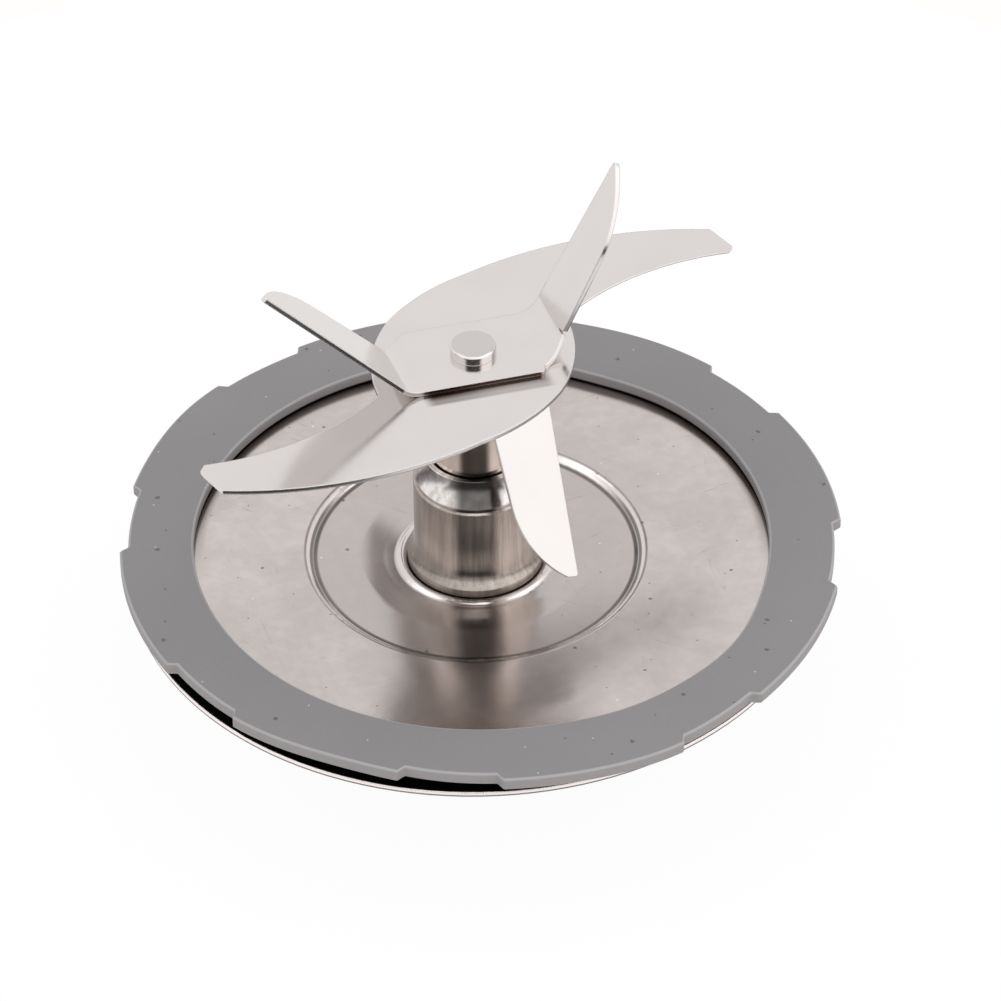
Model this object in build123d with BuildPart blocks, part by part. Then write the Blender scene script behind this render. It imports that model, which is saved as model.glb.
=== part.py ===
"""Blender blade assembly: a sealed bearing hub on a stamped disc, with three stacked blades.

The frame has +Z up along the spindle. The origin is on the spindle's axis, in the plane of
the disc rim's underside, where the jar's screw collar holds the part. Sizes are in millimetres.
"""
import os
from math import cos, radians, sin, tan

from build123d import *

# Running and seating clearances
running_clearance = 0.03
slip_clearance = 0.10
mouth_clearance = 0.20
end_float = 0.05

# Stamped disc
disc_sheet = 0.6
disc_radius = 39.5
rim_width = 2.4
rim_drop = 1.1
rim_run = 1.1
rim_bend = 0.9
pan_radius = 19.35
pan_depth = 0.65
pan_run = 0.9
pan_bend = 0.9
dish_radius = 13.2
dish_depth = 0.2
dish_run = 2.6
dish_bend = 6.0
bead_width = 1.3
bead_height = 0.45
bead_bend = 0.6
bead_gap = 0.05

# Rubber ring that lies loose on the disc, a little off centre
gasket_overhang = 1.5
gasket_width = 8.35
gasket_thickness = 1.55
gasket_shift = (0.65, 0.55)
gasket_edge = 0.2
notch_count = 8
notch_depth = 0.95
notch_angle = 15.5
notch_phase_angle = -5.0
notch_corner = 0.4

# Bearing hub
foot_radius = 7.75
foot_lip = 0.9
foot_flare = 2.2
hub_radius = 6.95
hub_height = 11.5
hub_edge = 0.2
tail_radius = 6.5
tail_length = 8.5
tail_edge = 0.35
thread_depth = 0.4
foot_seal_width = 0.9
foot_seal_thickness = 0.15

# Nut and washer below the disc
washer_radius = 9.2
washer_thickness = 0.8
washer_split = 0.8
nut_flats = 17.0
nut_height = 3.5
nut_bevel = 1.0
nut_bevel_angle = 30.0

# Spindle
spindle_radius = 4.0
neck_radius = 5.0
neck_above_cap = 12.25
neck_below_seal = 0.75
tenon_radius = 2.25
tenon_flats = 3.6
head_radius = 2.56
head_height = 1.18
head_edge = 0.35
stub_length = 1.2
drive_flats = 5.6
drive_length = 9.0
drive_edge = 0.5

# Bearing parts in the hub
bush_wall = 1.47
bush_length = 5.0
seal_wall = 0.4
seal_height = 2.6
seal_lip = 0.3
thrust_thickness = 0.6
thrust_width = 1.2

# Polished cap on the hub's mouth
cap_height = 3.66
cap_inset = 0.25
cap_lip = 0.35
cap_spigot = 1.6
cap_top_wall = 0.55
cap_cove = 0.12

# Spring clip under the hub
clip_radius = 6.0
clip_thickness = 0.8
clip_rail = 1.3
clip_prong = 1.6
clip_prongs = 3
clip_mouth = 5.0
groove_depth = 0.8

# Blades, stamped from one sheet
blade_sheet = 0.55
tenon_hole_clearance = 0.05
ground_width = 1.4
ground_depth = 0.38
ground_runout_ratio = 0.05
ground_overrun_angle = 5.0
tip_corner = 0.3
plate_corner = 0.5

# Bent wings, measured outwards from the bend line and across it
wing_reach = 22.0
wing_back_root = 4.8
wing_back_tip = 2.05
wing_tip_slant = 0.35
wing_edge_root = 2.6
wing_flare = 5.0
wing_belly = 3.15
wing_belly_at = 12.0
plate_heel = 6.2
plate_half_width = 5.9

# Where each bent blade turns, and how its wings lean and end
upper_turn_angle = 19.4
upper_bend_at = 8.65
upper_bend_angles = (67.0, 45.0)
upper_bend_radius = 3.0
upper_tip_width = 0.7
lower_turn_angle = -59.4
lower_bend_at = 7.1
lower_bend_angles = (57.5, 57.5)
lower_bend_radius = 1.2
lower_tip_width = 1.2

# Flat middle blade, its right wing along the local X axis
middle_turn_angle = 36.4
middle_throat = (12.4, -0.6)
middle_edge_mid = (22.0, 0.7)
middle_tip_inner = (34.3, -2.3)
middle_tip_nose = (35.2, -1.7)
middle_tip_outer = (35.2, 2.4)
middle_back_mid = (22.0, 9.9)
middle_back = (8.0, 12.5)
middle_shoulder_mid = (1.5, 12.35)
middle_shoulder = (-4.2, 10.6)
middle_lobe_mid = (-8.9, 6.8)
middle_throat_round = 0.9

# Heights above the rim's underside
land_top = disc_sheet + rim_drop
pan_top = land_top - pan_depth
dish_top = pan_top - dish_depth
dish_under = dish_top - disc_sheet
foot_bottom = dish_top + foot_seal_thickness
hub_top = foot_bottom + hub_height
cap_top = hub_top + cap_height
tail_bottom = foot_bottom - tail_length
seal_top = hub_top - cap_spigot
seal_bottom = seal_top - seal_height
shoulder = seal_bottom - neck_below_seal
thrust_top = shoulder - end_float
upper_bush_top = thrust_top - thrust_thickness
upper_bush_bottom = upper_bush_top - bush_length
lower_bush_top = tail_bottom + bush_length
lower_thrust_top = tail_bottom - end_float
clip_top = lower_thrust_top - thrust_thickness
clip_bottom = clip_top - clip_thickness
stub_bottom = clip_bottom - stub_length
drive_bottom = stub_bottom - drive_length
lower_blade_bottom = cap_top + neck_above_cap
middle_blade_bottom = lower_blade_bottom + blade_sheet
upper_blade_bottom = middle_blade_bottom + blade_sheet
stack_top = upper_blade_bottom + blade_sheet
nut_top = dish_under - washer_thickness

# Radii that follow from the ones above
gasket_radius = disc_radius + gasket_overhang
gasket_bore = gasket_radius - gasket_width
bush_bore = spindle_radius + running_clearance
bush_radius = bush_bore + bush_wall
seal_bore = neck_radius + running_clearance
cap_bore = neck_radius + mouth_clearance
mouth_radius = bush_radius + seal_wall
disc_hole = tail_radius + slip_clearance
groove_radius = spindle_radius - groove_depth
thread_core = tail_radius - thread_depth

os.makedirs("parts", exist_ok=True)


def save(part, name):
    """Labels one finished piece and writes it."""
    part.label = name
    export_step(part, f"parts/{name}.step")


# Stamped disc: one sheet with a bead round the hub, a dished centre, a pan and a dropped rim
bead_start = foot_radius + bead_gap
pan_floor_edge = pan_radius - pan_run
rim_start = disc_radius - rim_width
disc_surface = [
    (disc_hole, dish_top),
    (bead_start, dish_top),
    (bead_start + bead_width / 2, dish_top + bead_height),
    (bead_start + bead_width, dish_top),
    (dish_radius - dish_run, dish_top),
    (dish_radius, pan_top),
    (pan_floor_edge, pan_top),
    (pan_radius, land_top),
    (rim_start - rim_run, land_top),
    (rim_start, disc_sheet),
    (disc_radius, disc_sheet),
]
disc_bends = [bead_bend] * 3 + [dish_bend] * 2 + [pan_bend] * 2 + [rim_bend] * 2
with BuildPart() as base_disc:
    with BuildSketch(Plane.XZ) as disc_section:
        with BuildLine() as disc_line:
            FilletPolyline(*disc_surface, radius=disc_bends)
            offset(amount=disc_sheet, side=Side.RIGHT)
        make_face()
    revolve(axis=Axis.Z)
save(base_disc.part, "base_disc")

# Rubber ring with shallow notches round its outer edge
notch_floor = gasket_radius - notch_depth
with BuildPart() as sealing_gasket:
    with BuildSketch(Plane((*gasket_shift, land_top))) as ring:
        Circle(gasket_radius)
        for index in range(notch_count):
            start = notch_phase_angle + index * 360 / notch_count - notch_angle / 2
            with BuildLine():
                floor = CenterArc((0, 0), notch_floor, start, notch_angle)
                mouth = CenterArc((0, 0), gasket_radius + notch_depth, start, notch_angle)
                Line(floor @ 0, mouth @ 0)
                Line(floor @ 1, mouth @ 1)
            make_face(mode=Mode.SUBTRACT)
        fillet(ring.vertices(), radius=notch_corner)
        Circle(gasket_bore, mode=Mode.SUBTRACT)
    extrude(amount=gasket_thickness)
    gasket_rims = sealing_gasket.faces().filter_by(Axis.Z).edges()
    chamfer(gasket_rims, length=gasket_edge)
save(sealing_gasket.part, "sealing_gasket")

# Turned hub: flared foot, plain barrel, and a tail down through the disc to the thread's core
with BuildPart() as bearing_housing:
    with BuildSketch(Plane.XZ) as hub_section:
        with BuildLine():
            foot = Polyline(
                (bush_radius, tail_bottom),
                (thread_core, tail_bottom),
                (thread_core, dish_under),
                (tail_radius, dish_under),
                (tail_radius, foot_bottom),
                (foot_radius, foot_bottom),
                (foot_radius, foot_bottom + foot_lip),
            )
            flare_top = (hub_radius, foot_bottom + foot_lip + foot_flare)
            flare = TangentArc(flare_top, foot @ 1, tangent=(0, -1))
            Polyline(
                flare @ 0,
                (hub_radius, hub_top),
                (mouth_radius, hub_top),
                (mouth_radius, seal_bottom),
                (bush_radius, seal_bottom),
                foot @ 0,
            )
        make_face()
    revolve(axis=Axis.Z)
    hub_rim = bearing_housing.faces().sort_by(Axis.Z)[-1].outer_wire().edges()
    chamfer(hub_rim, length=hub_edge)
    tail_rim = bearing_housing.faces().sort_by(Axis.Z)[0].outer_wire().edges()
    chamfer(tail_rim, length=tail_edge)
save(bearing_housing.part, "bearing_housing")

# Rubber washer under the hub's foot
with BuildPart() as housing_seal:
    with BuildSketch(Plane.XY.offset(dish_top)):
        Circle(disc_hole + foot_seal_width)
        Circle(disc_hole, mode=Mode.SUBTRACT)
    extrude(amount=foot_seal_thickness)
save(housing_seal.part, "housing_seal")

# Split spring washer under the disc
with BuildPart() as lock_washer:
    with BuildSketch(Plane.XY.offset(nut_top)):
        Circle(washer_radius)
        Circle(disc_hole, mode=Mode.SUBTRACT)
        with Locations((washer_radius / 2, 0)):
            Rectangle(washer_radius, washer_split, mode=Mode.SUBTRACT)
    extrude(amount=washer_thickness)
save(lock_washer.part, "lock_washer")

# Hexagon nut on the tail, its lower corners turned off
nut_corner = nut_flats / 2 / cos(radians(30))
with BuildPart() as housing_nut:
    with BuildSketch(Plane.XY.offset(nut_top)):
        RegularPolygon(nut_flats / 2, side_count=6, major_radius=False)
    extrude(amount=-nut_height)
    with BuildSketch(Plane.XZ):
        with BuildLine():
            Polyline(
                (0, nut_top - nut_height),
                (nut_corner - nut_bevel, nut_top - nut_height),
                (nut_corner, nut_top - nut_height + nut_bevel * tan(radians(nut_bevel_angle))),
                (nut_corner, nut_top),
                (0, nut_top),
                close=True,
            )
        make_face()
    revolve(axis=Axis.Z, mode=Mode.INTERSECT)
    with Locations((0, 0, nut_top)):
        Hole(thread_core)
save(housing_nut.part, "housing_nut")


def turned_ring(bore, radius, bottom, top):
    """A plain ring about the spindle's axis."""
    with BuildPart() as turned:
        with BuildSketch(Plane.XY.offset(bottom)):
            Circle(radius)
            Circle(bore, mode=Mode.SUBTRACT)
        extrude(amount=top - bottom)
    return turned.part


# Bushes, oil felt and thrust washers round the spindle
thrust_bore = spindle_radius + slip_clearance
thrust_radius = thrust_bore + thrust_width
save(turned_ring(bush_bore, bush_radius, upper_bush_bottom, upper_bush_top), "upper_bushing")
save(turned_ring(bush_bore, bush_radius, tail_bottom, lower_bush_top), "lower_bushing")
save(turned_ring(thrust_bore, bush_radius, lower_bush_top, upper_bush_bottom), "oil_felt")
save(turned_ring(thrust_bore, thrust_radius, upper_bush_top, thrust_top), "upper_thrust_washer")
save(turned_ring(thrust_bore, thrust_radius, clip_top, lower_thrust_top), "lower_thrust_washer")

# Rubber lip seal in the hub's mouth, its lip against the neck
with BuildPart() as shaft_seal:
    seal_groove = (mouth_radius + seal_bore) / 2
    with BuildSketch(Plane.XZ):
        with BuildLine():
            Polyline(
                (mouth_radius, seal_bottom),
                (mouth_radius, seal_top),
                (mouth_radius - seal_lip, seal_top),
                (seal_groove, seal_bottom + seal_lip),
                (seal_bore + seal_lip, seal_top - seal_lip),
                (seal_bore, seal_top - seal_lip),
                (seal_bore + seal_lip / 2, seal_bottom),
                close=True,
            )
        make_face()
    revolve(axis=Axis.Z)
save(shaft_seal.part, "shaft_seal")

# Polished cap: a spigot in the hub's mouth, a lip and a hollow-sided cone
cap_radius = hub_radius - cap_inset
with BuildPart() as seal_cap:
    with BuildSketch(Plane.XZ):
        with BuildLine():
            cap_foot = Polyline(
                (cap_bore, seal_top),
                (mouth_radius, seal_top),
                (mouth_radius, hub_top),
                (cap_radius, hub_top),
                (cap_radius, hub_top + cap_lip),
            )
            cap_rim = (cap_bore + cap_top_wall, cap_top)
            SagittaArc(cap_foot @ 1, cap_rim, cap_cove)
            Polyline(cap_rim, (cap_bore, cap_top), cap_foot @ 0)
        make_face()
    revolve(axis=Axis.Z)
save(seal_cap.part, "seal_cap")

# Spindle: square drive end, clip groove, journal, neck, flatted tenon and peened head
with BuildPart() as spindle:
    with BuildSketch(Plane.XZ):
        with BuildLine():
            Polyline(
                (0, stub_bottom),
                (spindle_radius, stub_bottom),
                (spindle_radius, clip_bottom),
                (groove_radius, clip_bottom),
                (groove_radius, clip_top),
                (spindle_radius, clip_top),
                (spindle_radius, shoulder),
                (neck_radius, shoulder),
                (neck_radius, lower_blade_bottom),
                (0, lower_blade_bottom),
                close=True,
            )
        make_face()
    revolve(axis=Axis.Z)
    with BuildSketch(Plane.XY.offset(stub_bottom)):
        Rectangle(drive_flats, drive_flats)
    extrude(amount=-drive_length)
    chamfer(spindle.faces().sort_by(Axis.Z)[0].edges(), length=drive_edge)
    with BuildSketch(Plane.XY.offset(lower_blade_bottom)):
        Circle(tenon_radius)
        Rectangle(2 * tenon_radius, tenon_flats, mode=Mode.INTERSECT)
    extrude(amount=stack_top - lower_blade_bottom)
    with BuildSketch(Plane.XY.offset(stack_top)):
        Circle(head_radius)
    extrude(amount=head_height)
    fillet(spindle.faces().sort_by(Axis.Z)[-1].edges(), radius=head_edge)
save(spindle.part, "spindle")

# Spring clip: an open ring with three prongs that bear on the groove's floor
clip_bore = groove_radius + running_clearance
with BuildPart() as retaining_clip:
    with BuildSketch(Plane.XY.offset(clip_bottom)):
        Circle(clip_radius)
        Circle(clip_radius - clip_rail, mode=Mode.SUBTRACT)
        prong_middle = (clip_bore + clip_radius) / 2
        with PolarLocations(prong_middle, clip_prongs):
            Rectangle(clip_radius - clip_bore, clip_prong)
        Circle(clip_radius, mode=Mode.INTERSECT)
        with Locations((-clip_radius, 0)):
            Rectangle(2 * clip_radius - clip_prong, clip_mouth, mode=Mode.SUBTRACT)
        Circle(clip_bore, mode=Mode.SUBTRACT)
    extrude(amount=clip_thickness)
save(retaining_clip.part, "retaining_clip")


def tenon_hole(bottom):
    """The flatted hole that keys a blade to the spindle."""
    with BuildSketch(Plane.XY.offset(bottom)) as hole:
        Circle(tenon_radius + tenon_hole_clearance)
        tenon_width = 2 * (tenon_radius + tenon_hole_clearance)
        Rectangle(tenon_width, tenon_flats + 2 * tenon_hole_clearance, mode=Mode.INTERSECT)
    return hole.sketch


def winged_blade(bottom, turn, bend_at, bends, bend_radius, tip_width, lift):
    """A flat plate with two wings, bent up where lift is 1 and down where it is -1."""
    top = bottom + blade_sheet
    inside = bend_radius if lift > 0 else bend_radius + blade_sheet
    plate_ends = []
    with BuildPart() as blade:
        for side, lean in enumerate(bends):
            out = Vector(1, 0, 0).rotate(Axis.Z, turn + 180 * side)
            across = out.rotate(Axis.Z, 90)
            along = out * cos(radians(lean)) + Vector(0, 0, lift * sin(radians(lean)))
            setback = inside * tan(radians(lean / 2))
            plate_ends.append(bend_at - setback)
            root = out * bend_at + Vector(0, 0, top) + along * setback
            wing_plane = Plane(root, x_dir=along, z_dir=along.cross(across))
            reach = wing_reach - setback
            with BuildSketch(wing_plane) as wing:
                with BuildLine():
                    back = Line((0, wing_back_root), (reach, wing_back_tip))
                    tip = Line(back @ 1, (reach - wing_tip_slant, wing_back_tip - tip_width))
                    edge = Line((0, -wing_edge_root), (wing_belly_at - setback, -wing_belly))
                    TangentArc(edge @ 1, tip @ 1, tangent=edge % 1)
                    Line(edge @ 0, back @ 0)
                make_face()
                fillet(wing.vertices().sort_by_distance(back @ 1)[0], radius=tip_corner)
            extrude(amount=-blade_sheet)
            underside = blade.faces().sort_by_distance(root - wing_plane.z_dir * blade_sheet)[0]
            cutting = underside.edges().filter_by(
                lambda rim: wing_plane.to_local_coords(rim.center()).Y < -wing_edge_root / 2
            )
            chamfer(cutting, length=ground_width, length2=ground_depth, reference=underside)

            # The bend joins plate and wing as a part turn of the sheet's section
            bend_start = out * (bend_at - setback)
            section_centre = bend_start + across * ((wing_back_root - wing_flare) / 2)
            section_plane = Plane(
                section_centre + Vector(0, 0, bottom + blade_sheet / 2), x_dir=across, z_dir=out
            )
            with BuildSketch(section_plane):
                Rectangle(wing_back_root + wing_flare, blade_sheet)
            pivot_height = top + bend_radius if lift > 0 else bottom - bend_radius
            pivot = Axis(bend_start + Vector(0, 0, pivot_height), across * -lift)
            revolve(axis=pivot, revolution_arc=lean)

            # Along the bend its edge runs in from the plate's flare to the wing's root
            chord = out * cos(radians(lean / 2)) + Vector(0, 0, lift * sin(radians(lean / 2)))
            run = (2 * bend_radius + blade_sheet) * sin(radians(lean / 2))
            flare_plane = Plane(
                bend_start + Vector(0, 0, bottom + blade_sheet / 2), x_dir=chord, z_dir=chord.cross(across)
            )
            with BuildSketch(flare_plane):
                with BuildLine():
                    Polyline(
                        (0, -wing_flare),
                        (run, -wing_edge_root),
                        (run + blade_sheet, -wing_belly),
                        (run + blade_sheet, -wing_flare - blade_sheet),
                        close=True,
                    )
                make_face()
            extrude(amount=bend_radius + blade_sheet, both=True, mode=Mode.SUBTRACT)

        plate_plane = Plane((0, 0, bottom), x_dir=Vector(1, 0, 0).rotate(Axis.Z, turn), z_dir=(0, 0, 1))
        first_end, second_end = plate_ends
        with BuildSketch(plate_plane) as plate:
            with BuildLine():
                Polyline(
                    (first_end, -wing_flare),
                    (first_end, wing_back_root),
                    (-plate_heel, plate_half_width),
                    (-second_end, wing_flare),
                    (-second_end, -wing_back_root),
                    (plate_heel, -plate_half_width),
                    close=True,
                )
            make_face()
            heels = plate.vertices().sort_by(Axis.Y)
            fillet([heels[0], heels[-1]], radius=plate_corner)
        extrude(amount=blade_sheet)
        extrude(tenon_hole(bottom), amount=blade_sheet, mode=Mode.SUBTRACT)
    return blade.part


upper_form = (upper_turn_angle, upper_bend_at, upper_bend_angles, upper_bend_radius, upper_tip_width)
lower_form = (lower_turn_angle, lower_bend_at, lower_bend_angles, lower_bend_radius, lower_tip_width)
save(winged_blade(upper_blade_bottom, *upper_form, lift=1), "upper_blade")
save(winged_blade(lower_blade_bottom, *lower_form, lift=-1), "lower_blade")

# Flat middle blade: half its outline, and the same half turned round for the other wing
middle_out = Vector(1, 0, 0).rotate(Axis.Z, middle_turn_angle)
middle_plane = Plane((0, 0, middle_blade_bottom), x_dir=middle_out, z_dir=(0, 0, 1))
with BuildPart() as middle_blade:
    with BuildSketch(middle_plane) as middle_outline:
        with BuildLine() as middle_half:
            throat = Vector(middle_throat)
            outer_tip = Vector(middle_tip_outer)
            leading = ThreePointArc(throat, middle_edge_mid, middle_tip_inner)
            Polyline(middle_tip_inner, middle_tip_nose, middle_tip_outer)
            ThreePointArc(middle_tip_outer, middle_back_mid, middle_back)
            ThreePointArc(middle_back, middle_shoulder_mid, middle_shoulder)
            ThreePointArc(middle_shoulder, middle_lobe_mid, throat * -1)
            add(middle_half.line.rotate(Axis.Z, 180))
        make_face()
        corners = middle_outline.vertices()
        throats = [corners.sort_by_distance(spot)[0] for spot in (throat, throat * -1)]
        fillet(throats, radius=middle_throat_round)
        corners = middle_outline.vertices()
        tips = [corners.sort_by_distance(spot)[0] for spot in (outer_tip, outer_tip * -1)]
        fillet(tips, radius=tip_corner)
    extrude(amount=blade_sheet)
    # Each concave edge is ground from below, round the centre of its own arc
    for turned in (1, -1):
        grind_centre = middle_plane.from_local_coords(leading.arc_center * turned)
        grind_start = middle_plane.from_local_coords((leading @ ground_runout_ratio) * turned) - grind_centre
        grind_end = middle_plane.from_local_coords((leading @ 1) * turned) - grind_centre
        grind_sweep = grind_start.get_angle(grind_end) + ground_overrun_angle
        with BuildSketch(Plane(grind_centre, x_dir=grind_start, z_dir=grind_start.cross(Vector(0, 0, 1)))):
            with BuildLine():
                Polyline(
                    (leading.radius + ground_width, 0),
                    (leading.radius - ground_width, 0),
                    (leading.radius - ground_width, 2 * ground_depth),
                    close=True,
                )
            make_face()
        revolve(axis=Axis(grind_centre, (0, 0, -1)), revolution_arc=grind_sweep, mode=Mode.SUBTRACT)
    extrude(tenon_hole(middle_blade_bottom), amount=blade_sheet, mode=Mode.SUBTRACT)
save(middle_blade.part, "middle_blade")
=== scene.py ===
"""Dresses a kitchen blender's blade unit: finishes for its pieces, the soft sealing ring and a studio."""
from math import atan2, cos, degrees, exp, pi, radians, sin

import bmesh
import bpy
from bpy.props import FloatProperty, FloatVectorProperty, IntProperty, PointerProperty
from mathutils import Matrix, Vector


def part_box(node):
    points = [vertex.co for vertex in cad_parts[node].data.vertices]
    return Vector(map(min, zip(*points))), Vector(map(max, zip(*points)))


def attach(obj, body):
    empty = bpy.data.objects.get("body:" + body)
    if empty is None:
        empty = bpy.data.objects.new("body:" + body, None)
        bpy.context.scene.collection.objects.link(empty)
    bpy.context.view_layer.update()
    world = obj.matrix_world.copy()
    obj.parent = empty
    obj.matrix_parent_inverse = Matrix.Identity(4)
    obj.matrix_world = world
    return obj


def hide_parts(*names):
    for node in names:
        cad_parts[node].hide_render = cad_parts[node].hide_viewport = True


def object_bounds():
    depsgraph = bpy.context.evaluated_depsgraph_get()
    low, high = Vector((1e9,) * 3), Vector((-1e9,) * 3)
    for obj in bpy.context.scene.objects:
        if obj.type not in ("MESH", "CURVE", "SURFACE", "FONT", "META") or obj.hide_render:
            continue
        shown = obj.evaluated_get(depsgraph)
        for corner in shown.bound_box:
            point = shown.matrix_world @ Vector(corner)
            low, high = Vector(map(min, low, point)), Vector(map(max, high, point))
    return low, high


bl_info = {
    "name": "Blade Unit Dresser",
    "version": (1, 0, 0),
    "blender": (4, 5, 0),
    "location": "3D View > Sidebar > Blade Unit",
    "description": "Finishes and studio for a kitchen blender's blade unit",
    "category": "Object",
}

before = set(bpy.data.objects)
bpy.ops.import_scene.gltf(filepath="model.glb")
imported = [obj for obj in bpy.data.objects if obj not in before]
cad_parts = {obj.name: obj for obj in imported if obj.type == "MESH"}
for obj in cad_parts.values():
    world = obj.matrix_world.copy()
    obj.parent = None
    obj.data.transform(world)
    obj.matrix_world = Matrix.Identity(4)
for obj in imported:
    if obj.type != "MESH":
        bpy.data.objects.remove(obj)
cad_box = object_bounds()
ring_low, ring_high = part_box("sealing_gasket")
ring_centre = (ring_low + ring_high) / 2

MM = 0.001
UP = (0, 0, 1)

# How far each blade is turned on the spindle, in degrees
BLADE_TURNS = {"upper_blade": 19.4, "middle_blade": 36.4, "lower_blade": -59.4}

# Height of the blade stack's top and half the width of its upper plate, in millimetres
STACK_TOP = 30.0
PLATE_HALF_WIDTH = 5.9

# Bands on the disc, in millimetres from its axis: where each starts, is full, fades and ends
GROOVE = (17.85, 18.15, 18.35, 18.55)
STEP = (18.45, 18.6, 19.15, 19.3)
BRINK = (19.2, 19.35, 19.45, 19.6)

# Areas on the disc, in millimetres from its axis: where each starts and where it is full
BEAD_EDGE = (9.3, 8.9)
PAN_EDGE = (19.4, 18.6)
FLANGE_EDGE = (36.4, 37.0)
CUT_EDGE = (39.3, 39.42)

# The painted shade on the disc along the ring's bore, in the same way, but from the ring's own axis
RING_BORE_SHADE_EDGE = (31.2, 32.5)

# The floor's white border, from the axis, and the dark end of the table, along Y, in millimetres
FLOOR_BORDER = (60.0, 120.0)
TABLE_END = (-63.0, -72.0)

# The camera's aim, in millimetres: above the origin, then across and up in its own view
AIM_HEIGHT = 3.25
AIM_ACROSS = 2.824
AIM_UP = 4.217


class Field:
    """A number, colour or vector that changes over a surface, and the finish it belongs to."""

    def __init__(self, finish, socket):
        self.finish = finish
        self.socket = socket

    def __add__(self, other):
        return self.finish.sum("ADD", self, other)

    def __radd__(self, other):
        return self.finish.sum("ADD", other, self)

    def __sub__(self, other):
        return self.finish.sum("SUBTRACT", self, other)

    def __rsub__(self, other):
        return self.finish.sum("SUBTRACT", other, self)

    def __mul__(self, other):
        return self.finish.sum("MULTIPLY", self, other)

    def __rmul__(self, other):
        return self.finish.sum("MULTIPLY", other, self)

    def __truediv__(self, other):
        return self.finish.sum("DIVIDE", self, other)

    def __neg__(self):
        return self.finish.sum("MULTIPLY", self, -1.0)

    def __abs__(self):
        return self.finish.sum("ABSOLUTE", self)


class Finish:
    """A node tree, of a material or the world, that is filled by expressions."""

    def __init__(self, tree):
        self.tree = tree
        tree.nodes.clear()

    def node(self, kind, settings=None, sockets=None, out=0):
        """Adds one node: its settings first, then the values or links of its sockets."""
        node = self.tree.nodes.new(kind)
        for key, value in (settings or {}).items():
            setattr(node, key, value)
        for key, value in (sockets or {}).items():
            if isinstance(value, Field):
                self.tree.links.new(value.socket, node.inputs[key])
            else:
                node.inputs[key].default_value = value
        return Field(self, node.outputs[out]) if node.outputs else None

    def sum(self, operation, *terms):
        """A Math node on numbers and fields."""
        return self.node("ShaderNodeMath", {"operation": operation}, dict(enumerate(terms)))

    def ease(self, value, low, high, start=0.0, end=1.0):
        """Start below low, end above high, with a smooth passage between them."""
        settings = {"interpolation_type": "SMOOTHSTEP", "clamp": True}
        if low > high:
            low, high, start, end = high, low, end, start
        return self.node("ShaderNodeMapRange", settings, {0: value, 1: low, 2: high, 3: start, 4: end})

    def band(self, value, start, full, fade, end):
        """1 between full and fade, and 0 before start and after end."""
        return self.ease(value, start, full) * self.ease(value, end, fade)

    def reach(self, x, y):
        """The distance from the vertical axis."""
        return self.sum("SQRT", x * x + y * y)

    def blend(self, mask, first, second):
        """The first colour where the mask is 0, the second where it is 1."""
        settings = {"data_type": "RGBA", "clamp_factor": True}
        return self.node("ShaderNodeMix", settings, {0: mask, 6: first, 7: second}, out=2)

    def place(self):
        """The surface point in the part's frame, in millimetres, as a vector and its three numbers."""
        raw = self.node("ShaderNodeTexCoord", out=3)
        point = self.node("ShaderNodeVectorMath", {"operation": "SCALE"}, {0: raw, 3: 1 / MM})
        axes = [self.node("ShaderNodeSeparateXYZ", sockets={0: point}, out=axis) for axis in range(3)]
        return point, axes

    def vector(self, x, y, z):
        """Three numbers or fields as one vector."""
        return self.node("ShaderNodeCombineXYZ", sockets={0: x, 1: y, 2: z})

    def shift(self, point, step):
        """The point moved by one step along each axis, so that a pattern starts elsewhere."""
        return self.node("ShaderNodeVectorMath", {"operation": "ADD"}, {0: point, 1: (step, step, step)})

    def cloud(self, point, size, detail=2.0, rough=0.5, warp=0.0):
        """Soft noise from 0 to 1 with features of the given size."""
        sockets = {
            "Vector": point,
            "Scale": 1 / size,
            "Detail": detail,
            "Roughness": rough,
            "Distortion": warp,
        }
        return self.node("ShaderNodeTexNoise", {"noise_dimensions": "3D"}, sockets)

    def specks(self, point, spacing, radius, share):
        """Ragged specks lying on a level surface, in a share of the cells of the given spacing."""
        settings = {"feature": "F1", "voronoi_dimensions": "2D"}
        sockets = {"Vector": point, "Scale": 1 / spacing, "Randomness": 1.0}
        cell = self.node("ShaderNodeTexVoronoi", settings, sockets)
        tint = Field(self, cell.socket.node.outputs["Color"])
        pick = self.node("ShaderNodeSeparateColor", sockets={0: tint})
        ragged = cell * spacing + (self.cloud(point, radius * 1.2) - 0.5) * radius * 1.8
        near = self.ease(ragged, radius, radius * 0.6)
        return near * self.ease(pick, share, share * 0.98) * self.ease(self.facing(UP), 0.8, 0.95)

    def facing(self, way):
        """How squarely the surface faces along a fixed direction of the piece, either way."""
        normal = self.node("ShaderNodeTexCoord", out=1)
        settings = {"operation": "DOT_PRODUCT"}
        return abs(self.node("ShaderNodeVectorMath", settings, {0: normal, 1: way}, out=1))

    def rounded(self, radius):
        """The normal with sharp edges rounded to a small radius."""
        return self.node("ShaderNodeBevel", {"samples": 6}, {"Radius": radius * MM})

    def bump(self, height, depth, normal=None):
        """A relief, its height field scaled to a depth in millimetres."""
        sockets = {"Height": height, "Distance": depth * MM, "Strength": 1.0}
        if normal is not None:
            sockets["Normal"] = normal
        return self.node("ShaderNodeBump", sockets=sockets)

    def surface(self, **sockets):
        """Ends the tree with a surface whose sockets have these values or fields."""
        named = {key.replace("_", " "): value for key, value in sockets.items()}
        shader = self.node("ShaderNodeBsdfPrincipled", sockets=named)
        self.node("ShaderNodeOutputMaterial", sockets={"Surface": shader})


def material(name):
    """An empty material and its finish."""
    made = bpy.data.materials.new(name)
    made.use_nodes = True
    return made, Finish(made.node_tree)


def dress(made, *nodes):
    """Gives CAD nodes a material."""
    for node in nodes:
        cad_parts[node].material_slots[0].material = made


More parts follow.
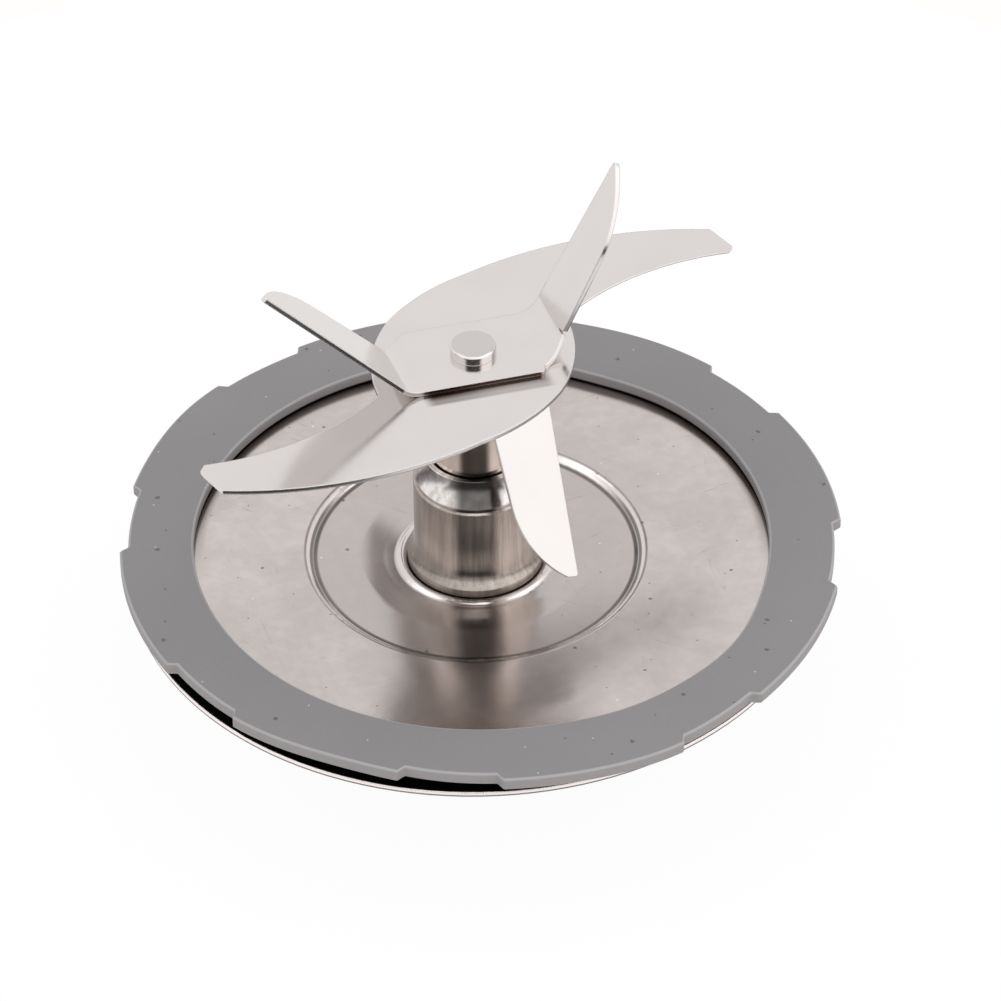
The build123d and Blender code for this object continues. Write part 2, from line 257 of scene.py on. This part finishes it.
def tint(colour, red, green, blue):
    """A colour with each of its channels multiplied by a factor."""
    return (colour[0] * red, colour[1] * green, colour[2] * blue, 1.0)


def shade(colour, factor):
    """A colour made lighter or darker by a factor."""
    return tint(colour, factor, factor, factor)


def turned(x, y, angle):
    """The distances along and across a direction at an angle, in degrees, from the X axis."""
    lean = radians(angle)
    return x * cos(lean) + y * sin(lean), y * cos(lean) - x * sin(lean)


def linked(context, mesh, name):
    """A new object from a bmesh, which is freed, in the scene."""
    data = bpy.data.meshes.new(name)
    mesh.to_mesh(data)
    mesh.free()
    piece = bpy.data.objects.new(name, data)
    context.scene.collection.objects.link(piece)
    return piece


class RingSettings(bpy.types.PropertyGroup):
    """The rubber sealing ring."""

    radius: FloatProperty(
        name="Outer radius", description="Outer radius of the ring", default=41.0 * MM, unit="LENGTH"
    )
    bore: FloatProperty(
        name="Inner radius", description="Inner radius of the ring", default=32.65 * MM, unit="LENGTH"
    )
    round: FloatProperty(
        name="Edge round", description="Rounding of its edges", default=0.3 * MM, unit="LENGTH"
    )
    notch_depth: FloatProperty(
        name="Notch depth", description="Depth of a notch", default=0.95 * MM, unit="LENGTH"
    )
    notch_angle: FloatProperty(
        name="Notch angle", description="Angle that a notch spans", default=radians(15.5), subtype="ANGLE"
    )
    notch_phase: FloatProperty(
        name="First notch",
        description="Direction of the first notch",
        default=radians(-5.0),
        subtype="ANGLE",
    )
    notches: IntProperty(name="Notches", description="Number of notches", default=8)
    colour: FloatVectorProperty(
        name="Colour", description="Colour of the rubber", default=(0.208, 0.204, 0.211), subtype="COLOR"
    )


class SteelSettings(bpy.types.PropertyGroup):
    """The steel finishes."""

    disc: FloatVectorProperty(
        name="Disc", description="Colour of the stamped disc", default=(0.60, 0.555, 0.54), subtype="COLOR"
    )
    blade: FloatVectorProperty(
        name="Blades", description="Colour of the blades", default=(0.715, 0.685, 0.675), subtype="COLOR"
    )
    hub: FloatVectorProperty(
        name="Hub", description="Colour of the drawn hub", default=(0.55, 0.49, 0.445), subtype="COLOR"
    )
    cap: FloatVectorProperty(
        name="Cap", description="Colour of the polished cap", default=(0.80, 0.755, 0.74), subtype="COLOR"
    )
    edge: FloatProperty(
        name="Edge round", description="Rounding of sheet edges", default=0.2 * MM, unit="LENGTH"
    )


class ThreadSettings(bpy.types.PropertyGroup):
    """The screw thread on the hub's tail."""

    root: FloatProperty(
        name="Root radius", description="Radius at the roots", default=6.0 * MM, unit="LENGTH"
    )
    crest: FloatProperty(
        name="Crest radius", description="Radius at the crests", default=6.5 * MM, unit="LENGTH"
    )
    pitch: FloatProperty(name="Pitch", description="Rise of one turn", default=1.0 * MM, unit="LENGTH")
    runout: FloatProperty(
        name="Run-out", description="Plain length at each end", default=0.6 * MM, unit="LENGTH"
    )


class StudioSettings(bpy.types.PropertyGroup):
    """Camera and light."""

    lens: FloatProperty(name="Lens", description="Focal length in millimetres", default=190.6)
    elevation: FloatProperty(
        name="Elevation", description="Camera's height angle", default=radians(39.85), subtype="ANGLE"
    )
    roll: FloatProperty(name="Roll", description="Camera's roll", default=radians(-0.53), subtype="ANGLE")
    distance: FloatProperty(
        name="Distance", description="Camera's distance", default=0.60102, unit="LENGTH"
    )
    floor: FloatProperty(name="Floor", description="Radius of the floor", default=0.15, unit="LENGTH")
    ambient: FloatProperty(
        name="Ambient", description="Strength of the soft surrounding light", default=1.0
    )


class BladeUnitSettings(bpy.types.PropertyGroup):
    """All the settings of the blade unit."""

    ring: PointerProperty(type=RingSettings)
    steel: PointerProperty(type=SteelSettings)
    thread: PointerProperty(type=ThreadSettings)
    studio: PointerProperty(type=StudioSettings)


# Where the loose ring is out of round: direction and spread in degrees, then the shift of its
# outer and inner edge in millimetres
RING_BULGES = (
    (-112, 14, -0.8, 0.0),
    (-60, 14, 0.5, 0.6),
    (-36, 16, 0.0, 0.9),
    (66, 14, 0.0, -0.7),
    (74, 12, -0.3, 0.0),
    (144, 14, 0.55, 0.0),
)


def rubber_finish(settings):
    """Matt grey rubber with painted highlights on its rounded edges, painted light on its walls, painted
    shade at the foot of its bore, a little dust and lint.
    """
    made, finish = material("grey_rubber")
    point, (x, y, z) = finish.place()
    colour = settings.colour
    tone = finish.cloud(point, 14.0, 3.0)
    grain = finish.cloud(point, 0.35, 2.0)
    painted_edge_highlight = finish.node("ShaderNodeAttribute", {"attribute_name": "painted_edge_highlight"}, out=2)
    body = finish.blend(tone, shade(colour, 0.93), shade(colour, 1.07))
    body = finish.blend(grain * 0.25, body, shade(colour, 1.25))
    # Painted highlight: the rounded edges, marked on the mesh, are made lighter.
    body = finish.blend(painted_edge_highlight * 0.8, body, shade(colour, 1.75))
    # Painted shade: the foot of the bore's wall is made nearly black, for the shadow gap under the ring.
    inside = finish.ease(finish.reach(x, y), 35.5, 34.5)
    body = finish.blend(inside * finish.ease(z, 2.1, 1.9), body, shade(colour, 0.06))
    # Painted light: the walls are made lighter, for the white floor's light on them; they are also a
    # little warmer in tone.
    wall = finish.ease(finish.facing(UP), 0.5, 0.1)
    body = finish.blend(wall * 0.5, body, (0.33, 0.305, 0.30, 1.0))
    lint = finish.specks(point, 7.5, 0.30, 0.4)
    lint = lint + finish.specks(finish.shift(point, 13.0), 4.5, 0.15, 0.25)
    dust = finish.specks(finish.shift(point, 31.0), 6.0, 0.12, 0.3)
    body = finish.blend(lint * 0.6, body, (0.04, 0.038, 0.036, 1.0))
    body = finish.blend(dust * 0.55, body, (0.7, 0.7, 0.69, 1.0))
    finish.surface(
        Base_Color=body,
        Roughness=0.56 + 0.16 * tone,
        Specular_IOR_Level=0.4,
        Normal=finish.bump(grain, 0.02),
    )
    return made


class BLADES_OT_ring(bpy.types.Operator):
    """Models the soft, notched sealing ring that lies on the disc"""

    bl_idname = "blades.ring"
    bl_label = "Sealing ring"

    def spun(self, ring):
        """The plain round ring, its section's corners rounded, about the origin."""
        facets = 1440
        mesh = bmesh.new()
        corners = [
            mesh.verts.new((ring.bore, 0, ring_low.z)),
            mesh.verts.new((ring.radius, 0, ring_low.z)),
            mesh.verts.new((ring.radius, 0, ring_high.z)),
            mesh.verts.new((ring.bore, 0, ring_high.z)),
        ]
        mesh.faces.new(corners)
        bmesh.ops.bevel(
            mesh, geom=corners, offset=ring.round, affect="VERTICES", segments=4, profile=0.5, material=-1
        )
        bmesh.ops.delete(mesh, geom=mesh.faces[:], context="FACES_ONLY")
        bmesh.ops.spin(
            mesh,
            geom=mesh.verts[:] + mesh.edges[:],
            axis=(0, 0, 1),
            angle=2 * pi,
            steps=facets,
            use_merge=True,
        )
        return mesh

    def shaped(self, mesh, ring):
        """Cuts the notches, bends the ring out of round and marks its rounded edges for a painted
        highlight.
        """
        painted_edge_highlight = mesh.verts.layers.float.new("painted_edge_highlight")
        half_notch = ring.notch_angle / 2
        passage = radians(0.45)
        pitch = 2 * pi / ring.notches
        for vertex in mesh.verts:
            heading = Vector((vertex.co.x, vertex.co.y, 0)).normalized()
            angle = atan2(heading.y, heading.x)
            radius = heading.dot(vertex.co)
            outside = radius > (ring.bore + ring.radius) / 2
            shift = 0.0
            for bulge, spread, outer, inner in RING_BULGES:
                apart = (degrees(angle) - bulge + 180) % 360 - 180
                shift += (outer if outside else inner) * MM * exp(-((apart / spread) ** 2))
            if outside:
                apart = abs((angle - ring.notch_phase + pitch / 2) % pitch - pitch / 2)
                notched = (half_notch + passage - apart) / (2 * passage)
                shift -= ring.notch_depth * min(max(notched, 0.0), 1.0)
            edge = ring.radius - radius if outside else radius - ring.bore
            rise = min(vertex.co.z - ring_low.z, ring_high.z - vertex.co.z)
            rounded = min(edge, rise) > 0 and max(edge, rise) < ring.round * 0.99
            vertex[painted_edge_highlight] = 1.0 if rounded else 0.0
            vertex.co += heading * shift

    def execute(self, context):
        ring = context.scene.blade_unit.ring
        mesh = self.spun(ring)
        self.shaped(mesh, ring)
        bmesh.ops.translate(mesh, verts=mesh.verts, vec=(ring_centre.x, ring_centre.y, 0))
        bmesh.ops.recalc_face_normals(mesh, faces=mesh.faces)
        for face in mesh.faces:
            face.smooth = abs(face.normal.z) < 0.999
        piece = linked(context, mesh, "soft_sealing_ring")
        piece.data.materials.append(rubber_finish(ring))
        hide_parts("sealing_gasket")
        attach(piece, "base")
        return {"FINISHED"}


class BLADES_OT_disc(bpy.types.Operator):
    """Gives the stamped disc its satin, smudged steel"""

    bl_idname = "blades.disc"
    bl_label = "Stamped disc"

    def execute(self, context):
        steel = context.scene.blade_unit.steel
        made, finish = material("satin_disc")
        point, (x, y, z) = finish.place()
        colour = steel.disc
        smudge = finish.cloud(point, 11.0, 4.0, 0.6, 0.6)
        grain = finish.cloud(point, 0.25, 2.0)
        body = finish.blend(finish.ease(smudge, 0.35, 0.7), shade(colour, 0.92), shade(colour, 1.05))
        mottle = finish.cloud(point, 1.9, 4.0, 0.6)
        body = finish.blend(finish.ease(mottle, 0.65, 0.40) * 0.13, body, shade(colour, 0.62))
        radius = finish.reach(x, y)
        pan = finish.ease(radius, *PAN_EDGE)
        body = finish.blend(pan * (0.3 + 0.4 * smudge), body, shade(colour, 0.76))
        # Painted shade: dark lines along the groove at the foot of the pan's step and along the step's
        # brink.
        groove = finish.band(radius, *GROOVE)
        brink = finish.band(radius, *BRINK)
        body = finish.blend(groove * (0.5 + 0.6 * smudge) + brink * smudge, body, shade(colour, 0.12))
        # Painted highlight: the bead round the hub and the step's wall are made lighter; they are also a
        # little smoother.
        step = finish.band(radius, *STEP)
        polish_and_highlight = finish.ease(radius, *BEAD_EDGE) + step
        body = finish.blend(polish_and_highlight, body, shade(colour, 1.15))
        # Painted shade: the step's wall is darkened on its left and right flanks.
        flanks = finish.ease(abs(x) / radius, 0.78, 0.95)
        flanks = step * flanks * finish.ease(radius, 18.95, 18.8)
        body = finish.blend(flanks * 0.85, body, shade(colour, 0.2))
        # Painted shade and painted reflection: a dark brown band on the disc along the ring's bore, at the
        # back, for the shadow under the ring and its dark wall mirrored in the disc.
        bore = finish.reach(x - ring_centre.x / MM, y - ring_centre.y / MM)
        ring_bore_shade = finish.ease(bore, *RING_BORE_SHADE_EDGE) * finish.ease(y / radius, -0.15, 0.35)
        body = finish.blend(ring_bore_shade * 0.85, body, tint(colour, 0.14, 0.105, 0.09))
        # Painted shade: the flange's top under the ring's overhang is made nearly black.
        flange = finish.ease(radius, *FLANGE_EDGE) * finish.ease(z, 0.3, 0.5)
        body = finish.blend(flange, body, shade(colour, 0.08))
        # Painted highlight: the sheet's cut edge round the rim is made lighter, with painted shade along
        # its lower part.
        cut_edge = finish.ease(radius, *CUT_EDGE)
        body = finish.blend(cut_edge, body, shade(colour, 1.55))
        body = finish.blend(cut_edge * finish.ease(z, 0.26, 0.14), body, shade(colour, 0.35))
        scratches = 0.0
        for lean, spread in ((0.4, 3.1), (1.9, 2.3), (2.7, 3.7)):
            along, across = turned(x, y, degrees(lean))
            hair = finish.cloud(finish.vector(along * 0.04, across, lean), spread, 2.0, 0.6)
            scratches = scratches + finish.ease(abs(hair - 0.62), 0.0035, 0.0)
        body = finish.blend(scratches * 0.22, body, shade(colour, 0.45))
        pits = finish.specks(point, 9.0, 0.24, 0.4)
        pits = pits + finish.specks(finish.shift(point, 17.0), 5.0, 0.12, 0.35)
        body = finish.blend(pits * 0.65, body, shade(colour, 0.15))
        glints = finish.specks(finish.shift(point, 43.0), 8.0, 0.11, 0.35)
        body = finish.blend(glints * 0.8, body, shade(colour, 1.6))
        finish.surface(
            Base_Color=body,
            Metallic=1.0,
            Roughness=0.15 + 0.08 * smudge - 0.03 * polish_and_highlight,
            Normal=finish.bump(grain, 0.0012, finish.rounded(steel.edge / MM)),
        )
        dress(made, "base_disc")
        return {"FINISHED"}


class BLADES_OT_hub(bpy.types.Operator):
    """Gives the drawn hub its streaked steel, and its cap a polish"""

    bl_idname = "blades.hub"
    bl_label = "Hub and cap"

    def draw_hub(self, steel):
        """Steel with upright drawing streaks, rougher at the foot and with painted shade there, and darker
        in patches on its left (-X) side.
        """
        made, finish = material("drawn_hub")
        point, (x, y, z) = finish.place()
        colour = steel.hub
        streak = finish.cloud(finish.vector(x * 2.2, y * 2.2, z * 0.12), 1.6, 4.0, 0.65)
        cloud = finish.cloud(point, 3.0, 2.0)
        body = finish.blend(finish.ease(streak, 0.3, 0.7), shade(colour, 0.72), shade(colour, 1.15))
        # Painted shade: darker towards the foot, where the hub meets the disc; the foot is also rougher.
        foot = finish.ease(z, 3.6, 1.2)
        body = finish.blend(foot * 0.55, body, shade(colour, 0.5))
        # Darker in patches on the hub's left (-X) side.
        left_side_darkening = finish.ease(x, -1.0, -6.0) * (0.4 + 0.8 * cloud)
        body = finish.blend(left_side_darkening * 0.7, body, shade(colour, 0.55))
        finish.surface(
            Base_Color=body,
            Metallic=1.0,
            Roughness=0.16 + 0.08 * streak + 0.05 * cloud + 0.08 * foot,
            Normal=finish.bump(streak, 0.003, finish.rounded(steel.edge / MM)),
        )
        dress(made, "bearing_housing")

    def polish_cap(self, steel):
        """Polished steel with rub marks and a painted dark reflection on its front."""
        made, finish = material("polished_cap")
        point, (x, y, z) = finish.place()
        colour = steel.cap
        haze = finish.cloud(point, 2.2, 2.0)
        turn = finish.sum("ARCTAN2", y, x)
        round_cap = finish.vector(finish.sum("COSINE", turn) * 9, finish.sum("SINE", turn) * 9, z)
        rub = finish.cloud(round_cap, 1.1, 3.0)
        body = finish.blend(finish.ease(rub, 0.35, 0.65), shade(colour, 0.80), shade(colour, 1.05))
        # Painted reflection: a dark patch on the cap's front stands for dark surroundings mirrored in it.
        painted_front_reflection = finish.ease(-y, 3.4, 5.2) * finish.ease(abs(x - 0.3), 3.4, 1.6) * (0.75 + 0.3 * haze)
        body = finish.blend(painted_front_reflection, body, shade(colour, 0.10))
        finish.surface(
            Base_Color=body,
            Metallic=1.0,
            Roughness=0.12 + 0.07 * haze,
            Normal=finish.bump(rub, 0.002, finish.rounded(steel.edge / MM)),
        )
        dress(made, "seal_cap")

    def execute(self, context):
        steel = context.scene.blade_unit.steel
        self.draw_hub(steel)
        self.polish_cap(steel)
        return {"FINISHED"}


class BLADES_OT_thread(bpy.types.Operator):
    """Models the screw thread on the hub's tail, below its nut"""

    bl_idname = "blades.thread"
    bl_label = "Hub thread"

    def cut(self, thread):
        """One helical ridge that fades out at both ends."""
        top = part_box("housing_nut")[0].z - thread.runout
        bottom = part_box("bearing_housing")[0].z + thread.runout
        facets = 72
        steps = int((top - bottom) / thread.pitch * facets)
        mesh = bmesh.new()
        root_half, crest_half = thread.pitch * 0.43, thread.pitch * 0.08
        corners = [
            mesh.verts.new((thread.root, 0, top + root_half)),
            mesh.verts.new((thread.crest, 0, top + crest_half)),
            mesh.verts.new((thread.crest, 0, top - crest_half)),
            mesh.verts.new((thread.root, 0, top - root_half)),
        ]
        section = [mesh.edges.new((corners[side - 1], corners[side])) for side in range(4)]
        bmesh.ops.spin(
            mesh,
            geom=corners + section,
            axis=(0, 0, 1),
            dvec=(0, 0, -thread.pitch / facets),
            angle=2 * pi * steps / facets,
            steps=steps,
        )
        bmesh.ops.holes_fill(mesh, edges=[edge for edge in mesh.edges if edge.is_boundary])
        fade = facets / 4
        for index, vertex in enumerate(mesh.verts):
            step = index // 4
            height = min(1.0, (step + 1) / fade, (steps - step + 1) / fade)
            heading = Vector((vertex.co.x, vertex.co.y, 0))
            vertex.co -= heading * (1 - height) * (1 - thread.root / heading.length)
        bmesh.ops.recalc_face_normals(mesh, faces=mesh.faces)
        for face in mesh.faces:
            face.smooth = True
        for edge in mesh.edges:
            edge.smooth = edge.calc_face_angle(0.0) < radians(25)
        return mesh

    def finished(self, thread, colour):
        """Steel that is dark at the roots and bright at the crests."""
        made, finish = material("cut_thread")
        point, (x, y, z) = finish.place()
        rise = finish.ease(finish.reach(x, y), thread.root / MM + 0.1, thread.crest / MM)
        cloud = finish.cloud(point, 1.5, 3.0)
        body = finish.blend(rise, shade(colour, 0.45), shade(colour, 1.15))
        body = finish.blend(cloud * 0.4, body, shade(colour, 0.7))
        finish.surface(
            Base_Color=body,
            Metallic=1.0,
            Roughness=0.22 + 0.1 * cloud,
            Normal=finish.bump(finish.cloud(point, 0.2), 0.003),
        )
        return made

    def execute(self, context):
        unit = context.scene.blade_unit
        piece = linked(context, self.cut(unit.thread), "hub_thread")
        piece.data.materials.append(self.finished(unit.thread, unit.steel.hub))
        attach(piece, "base")
        return {"FINISHED"}


class BLADES_OT_spindle(bpy.types.Operator):
    """Gives the spindle its turned steel"""

    bl_idname = "blades.spindle"
    bl_label = "Spindle"

    def execute(self, context):
        steel = context.scene.blade_unit.steel
        made, finish = material("turned_spindle")
        point, (x, y, z) = finish.place()
        colour = steel.hub
        turning = finish.cloud(finish.vector(x * 0.1, y * 0.1, z), 0.09, 2.0)
        cloud = finish.cloud(point, 2.0, 3.0)
        body = finish.blend(cloud, shade(colour, 1.1), shade(colour, 1.4))
        head = finish.ease(z, STACK_TOP, STACK_TOP + 0.1)
        body = finish.blend(head, body, shade(steel.blade, 1.08))
        crown = head * finish.ease(finish.facing(UP), 0.6, 0.95)
        body = finish.blend(crown, body, shade(steel.blade, 0.84))
        finish.surface(
            Base_Color=body,
            Metallic=1.0,
            Roughness=0.10 + 0.06 * cloud + 0.1 * crown,
            Normal=finish.bump(turning, 0.001, finish.rounded(steel.edge / MM)),
        )
        dress(made, "spindle")
        return {"FINISHED"}


class BLADES_OT_blades(bpy.types.Operator):
    """Gives the blades their bright satin steel"""

    bl_idname = "blades.blades"
    bl_label = "Blades"

    def painted_plate_reflection(self, finish, body, colour, x, y):
        """Painted reflection and shadow: a brown band on the flat blade along the front edge of the plate
        above it, for that edge's dark face mirrored in the blade and its shadow.
        """
        along, across = turned(x, y, BLADE_TURNS["upper_blade"])
        ahead = -PLATE_HALF_WIDTH + (6.2 - along) * 0.081 - across
        band = finish.ease(ahead, 2.25, 1.75) * (0.6 + 0.4 * finish.ease(ahead, 1.5, 0.6))
        band = band * finish.band(along, -8.0, -6.5, 5.8, 7.2) * finish.ease(ahead, -1.0, -0.8)
        band = band * finish.ease(along, -6.0, 2.0, 1.0, 0.66)
        return finish.blend(band, body, tint(colour, 0.12, 0.08, 0.065))

    def sheared(self, finish, body, colour, x, y):
        """The brown, sheared face of the plate's front edge."""
        along, across = turned(x, y, BLADE_TURNS["upper_blade"])
        wall = finish.ease(finish.facing(UP), 0.5, 0.2) * finish.ease(abs(along), 6.4, 5.9)
        wall = wall * finish.ease(across, -4.0, -5.0)
        return finish.blend(wall, body, tint(colour, 0.95, 0.80, 0.72))

    def execute(self, context):
        steel = context.scene.blade_unit.steel
        colour = steel.blade
        for node, turn in BLADE_TURNS.items():
            made, finish = material("bright_" + node)
            point, (x, y, z) = finish.place()
            along, across = turned(x, y, turn)
            cloud = finish.cloud(point, 6.0, 3.0)
            grain = finish.cloud(finish.vector(along * 0.25, across, z), 0.2, 2.0)
            body = finish.blend(cloud, shade(colour, 0.96), shade(colour, 1.03))
            if node == "middle_blade":
                # Painted reflection and shadow of the upper plate's front edge on this blade
                body = self.painted_plate_reflection(finish, body, colour, x, y)
            if node == "upper_blade":
                body = self.sheared(finish, body, colour, x, y)
            finish.surface(
                Base_Color=body,
                Metallic=1.0,
                Roughness=0.11 + 0.08 * cloud,
                Normal=finish.bump(grain, 0.0008, finish.rounded(steel.edge / MM)),
            )
            dress(made, node)
        return {"FINISHED"}


class BLADES_OT_bearing(bpy.types.Operator):
    """Gives the nut, washers, clip, bushes, felt and seals their finishes"""

    bl_idname = "blades.bearing"
    bl_label = "Bearing parts"

    def execute(self, context):
        steel = context.scene.blade_unit.steel
        parts = (
            ("nut_steel", (0.62, 0.60, 0.57), 1.0, 0.30, ("housing_nut", "lock_washer")),
            ("spring_steel", (0.30, 0.30, 0.31), 1.0, 0.34, ("retaining_clip",)),
            ("oiled_bronze", (0.52, 0.36, 0.18), 1.0, 0.45, ("upper_bushing", "lower_bushing")),
            ("oil_felt", (0.62, 0.57, 0.46), 0.0, 0.95, ("oil_felt",)),
            (
                "washer_plastic", (0.80, 0.79, 0.75), 0.0, 0.45,
                ("upper_thrust_washer", "lower_thrust_washer"),
            ),
            ("black_rubber", (0.022, 0.022, 0.023), 0.0, 0.6, ("shaft_seal", "housing_seal")),
        )
        for name, colour, metallic, rough, nodes in parts:
            made, finish = material(name)
            point = finish.place()[0]
            cloud = finish.cloud(point, 2.5, 3.0)
            grain = finish.cloud(point, 0.18, 2.0)
            body = finish.blend(cloud, shade(colour, 0.85), shade(colour, 1.12))
            finish.surface(
                Base_Color=body,
                Metallic=metallic,
                Roughness=rough - 0.06 + 0.12 * cloud,
                Normal=finish.bump(grain, 0.006, finish.rounded(steel.edge / MM)),
            )
            dress(made, *nodes)
        return {"FINISHED"}


class BLADES_OT_studio(bpy.types.Operator):
    """Sets up the floor, the soft surrounding light and the camera"""

    bl_idname = "blades.studio"
    bl_label = "Studio"

    def lay_floor(self, context, studio):
        """A pale floor, white where it is seen, with a dark table end in front."""
        mesh = bmesh.new()
        bmesh.ops.create_circle(mesh, cap_ends=True, segments=96, radius=studio.floor)
        bmesh.ops.translate(mesh, verts=mesh.verts, vec=(0, 0, cad_box[0][2]))
        floor = linked(context, mesh, "floor")
        made, finish = material("pale_floor")
        x, y, z = finish.place()[1]
        paper = finish.node("ShaderNodeBsdfDiffuse", sockets={"Color": (0.9, 0.9, 0.9, 1.0)})
        glow = {"Color": (1.0, 1.0, 1.0, 1.0), "Strength": 1.0}
        white = finish.node("ShaderNodeEmission", sockets=glow)
        camera_ray = finish.node("ShaderNodeLightPath", out="Is Camera Ray")
        glossy_ray = finish.node("ShaderNodeLightPath", out="Is Glossy Ray")
        border = finish.ease(finish.reach(x, y), *FLOOR_BORDER, 0.94, 1.0)
        seen = finish.sum("MAXIMUM", camera_ray, glossy_ray)
        cover = finish.node("ShaderNodeMixShader", sockets={0: seen * border, 1: paper, 2: white})
        glow = {"Color": (0.05, 0.05, 0.05, 1.0), "Strength": 1.0}
        dark = finish.node("ShaderNodeEmission", sockets=glow)
        table_end = finish.ease(y, *TABLE_END) * glossy_ray
        cover = finish.node("ShaderNodeMixShader", sockets={0: table_end, 1: cover, 2: dark})
        finish.node("ShaderNodeOutputMaterial", sockets={"Surface": cover})
        floor.data.materials.append(made)

    def light_tent(self, scene, studio):
        """A white tent all round, with brighter lamps and a dark opening in front."""
        world = bpy.data.worlds.new("studio")
        world.use_nodes = True
        scene.world = world
        finish = Finish(world.node_tree)
        way = finish.node("ShaderNodeTexCoord", out=0)
        x, y, z = [finish.node("ShaderNodeSeparateXYZ", sockets={0: way}, out=axis) for axis in range(3)]
        level = finish.reach(x, y) + 0.0001
        # Only light that has bounced twice or more finds the opening
        again = finish.ease(finish.node("ShaderNodeLightPath", out="Ray Depth"), 2.2, 2.8)
        opening = finish.ease(-y / level, 0.70, 0.88) * finish.ease(z, 0.85, 0.72) * again * 0.97
        key = finish.ease(x * 0.80 - y * 0.50 + z * 0.33, 0.62, 0.92)
        height = finish.band(z, 0.26, 0.42, 0.82, 0.95) * finish.ease(y, 0.42, 0.28)
        high = finish.ease(z, 0.66, 0.76)
        right = finish.ease(x / level, 0.40, 0.70) * height * (0.45 + 0.40 * high)
        left = finish.ease(-x / level, 0.40, 0.70) * height * (0.06 + 0.75 * high)
        top = finish.ease(z * 0.88 - y * 0.47, 0.88, 0.985)
        lamps = finish.sum("MAXIMUM", finish.sum("MAXIMUM", 0.36 * key, right), left)
        tent = (1.0 + finish.sum("MAXIMUM", lamps, 0.6 * top)) * (1 - opening)
        seen = finish.node("ShaderNodeLightPath", out="Is Camera Ray")
        strength = tent * (1 - seen) * studio.ambient + seen
        glow = {"Color": (1.0, 0.99, 0.98, 1.0), "Strength": strength}
        light = finish.node("ShaderNodeBackground", sockets=glow)
        finish.node("ShaderNodeOutputWorld", sockets={"Surface": light})

    def aim_camera(self, scene, studio):
        """A long lens that looks along +Y and down."""
        forward = Vector((0, cos(studio.elevation), -sin(studio.elevation)))
        right = Vector((1, 0, 0))
        upward = right.cross(forward)
        across = right * cos(studio.roll) + upward * sin(studio.roll)
        above = upward * cos(studio.roll) - right * sin(studio.roll)
        aim = Vector((0, 0, AIM_HEIGHT * MM)) + across * AIM_ACROSS * MM + above * AIM_UP * MM
        camera = bpy.data.objects.new("camera", bpy.data.cameras.new("camera"))
        scene.collection.objects.link(camera)
        camera.data.lens = studio.lens
        camera.data.clip_start = 0.01
        turn = Matrix((across, above, -forward)).transposed()
        camera.matrix_world = Matrix.Translation(aim - forward * studio.distance) @ turn.to_4x4()
        scene.camera = camera

    def execute(self, context):
        scene = context.scene
        studio = scene.blade_unit.studio
        scene.view_settings.view_transform = "Standard"
        self.lay_floor(context, studio)
        self.light_tent(scene, studio)
        self.aim_camera(scene, studio)
        return {"FINISHED"}


class BLADES_PT_panel(bpy.types.Panel):
    """Lists the pieces of the blade unit"""

    bl_label = "Blade Unit"
    bl_idname = "BLADES_PT_panel"
    bl_space_type = "VIEW_3D"
    bl_region_type = "UI"
    bl_category = "Blade Unit"

    def draw(self, context):
        for operator in OPERATORS:
            self.layout.operator(operator.bl_idname)


SETTINGS = (RingSettings, SteelSettings, ThreadSettings, StudioSettings, BladeUnitSettings)
OPERATORS = (
    BLADES_OT_ring,
    BLADES_OT_disc,
    BLADES_OT_hub,
    BLADES_OT_thread,
    BLADES_OT_spindle,
    BLADES_OT_blades,
    BLADES_OT_bearing,
    BLADES_OT_studio,
)


def register():
    for kind in SETTINGS + OPERATORS + (BLADES_PT_panel,):
        bpy.utils.register_class(kind)
    bpy.types.Scene.blade_unit = PointerProperty(type=BladeUnitSettings)


def unregister():
    del bpy.types.Scene.blade_unit
    for kind in reversed(SETTINGS + OPERATORS + (BLADES_PT_panel,)):
        bpy.utils.unregister_class(kind)


def main():
    register()
    bpy.ops.blades.ring()
    bpy.ops.blades.disc()
    bpy.ops.blades.hub()
    bpy.ops.blades.thread()
    bpy.ops.blades.spindle()
    bpy.ops.blades.blades()
    bpy.ops.blades.bearing()
    bpy.ops.blades.studio()


if __name__ == "__main__":
    main()
